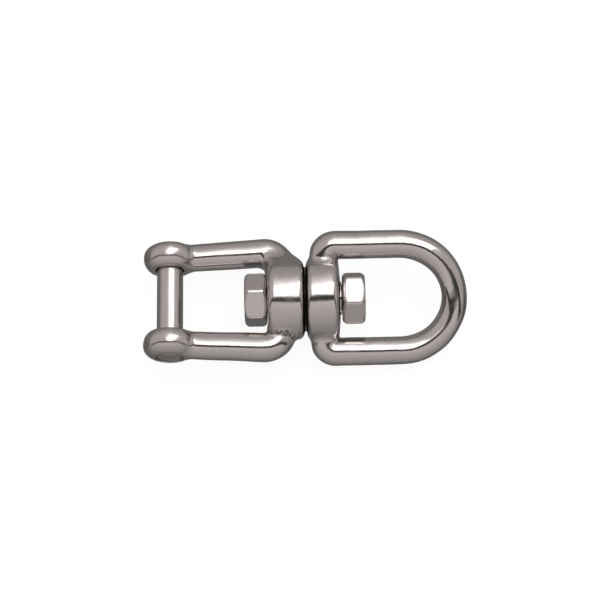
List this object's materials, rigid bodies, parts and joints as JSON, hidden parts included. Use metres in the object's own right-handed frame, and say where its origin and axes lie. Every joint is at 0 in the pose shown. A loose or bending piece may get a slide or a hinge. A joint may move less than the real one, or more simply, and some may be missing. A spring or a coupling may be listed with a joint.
{
  "type": "jaw and eye swivel",
  "caption": "Rigging swivel with a screw-pin clevis jaw and a D-shaped eye, which turn against each other on one shouldered stud held by hexagon nuts.",
  "frame": {"origin": "centre of the part's box, which is on the swivel axis and within 0.1 mm of the middle of the gap between the two hubs", "axes": "+X along the swivel axis from the jaw to the eye, +Y along the clevis pin towards its socket head, +Z at right angles to the jaw's plane; the eye is stored turned 22 degrees about +X out of that plane"},
  "size_m": [0.1146, 0.045, 0.0286],
  "materials": {
    "cast_stainless": "investment-cast stainless steel, tumbled and polished",
    "nut_stainless": "machined and polished stainless steel",
    "turned_stainless": "turned stainless steel with fine circumferential tool marks"
  },
  "bodies": {
    "jaw": {"jaw_fork": "cast_stainless"},
    "stud": {"swivel_stud": "turned_stainless", "jaw_side_nut": "nut_stainless", "eye_side_nut": "nut_stainless"},
    "eye": {"eye_bow": "cast_stainless"},
    "pin": {"clevis_pin": "turned_stainless"}
  },
  "joints": [
    {"name": "stud_spin", "type": "hinge", "parent": "jaw", "child": "stud", "pos_m": [0, 0, 0], "axis": [1, 0, 0], "continuous": true},
    {"name": "eye_swivel", "type": "hinge", "parent": "jaw", "child": "eye", "pos_m": [0, 0, 0], "axis": [1, 0, 0], "continuous": true},
    {"name": "pin_withdraw", "type": "slide", "parent": "jaw", "child": "pin", "axis": [0, 1, 0], "range_m": [0, 0.0335]}
  ]
}
